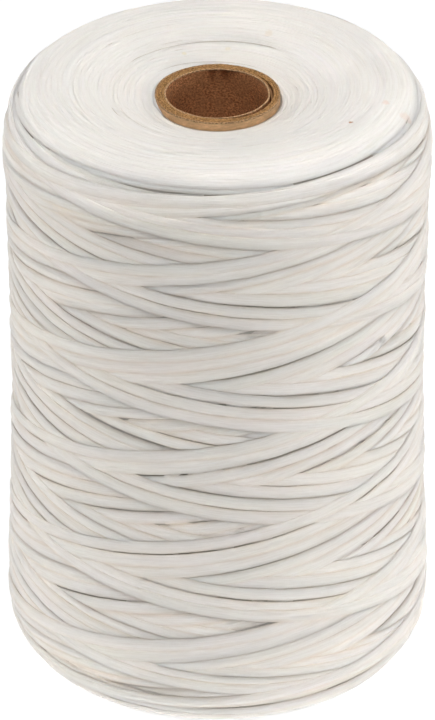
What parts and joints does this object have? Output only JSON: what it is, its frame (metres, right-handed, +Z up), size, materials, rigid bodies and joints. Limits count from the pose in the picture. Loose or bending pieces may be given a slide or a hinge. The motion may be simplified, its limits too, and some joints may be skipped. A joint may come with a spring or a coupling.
{
  "type": "waxed thread spool",
  "caption": "Free-standing cylindrical package of white waxed thread, cross-wound on a laminated cardboard tube whose open bore drops over a spindle.",
  "frame": {"origin": "centre of the underside: on the axis of the bore, level with the flattened crest of the lower end face, on which the spool stands", "axes": "+Z up along the tube's axis; X and Y are equivalent because the spool is round"},
  "size_m": [0.066, 0.066, 0.0977],
  "materials": {
    "kraft_liner": "matte kraft paper",
    "kraft_board": "cut fibrous edge",
    "kraft_wrap": "matte kraft paper",
    "waxed_thread": "waxed, soft sheen"
  },
  "bodies": {
    "root": {"core_inner_liner": "kraft_liner", "core_ply_inner": "kraft_board", "core_ply_middle": "kraft_board", "core_ply_outer": "kraft_board", "core_outer_wrap": "kraft_wrap", "thread_winding": "waxed_thread"}
  },
  "joints": []
}
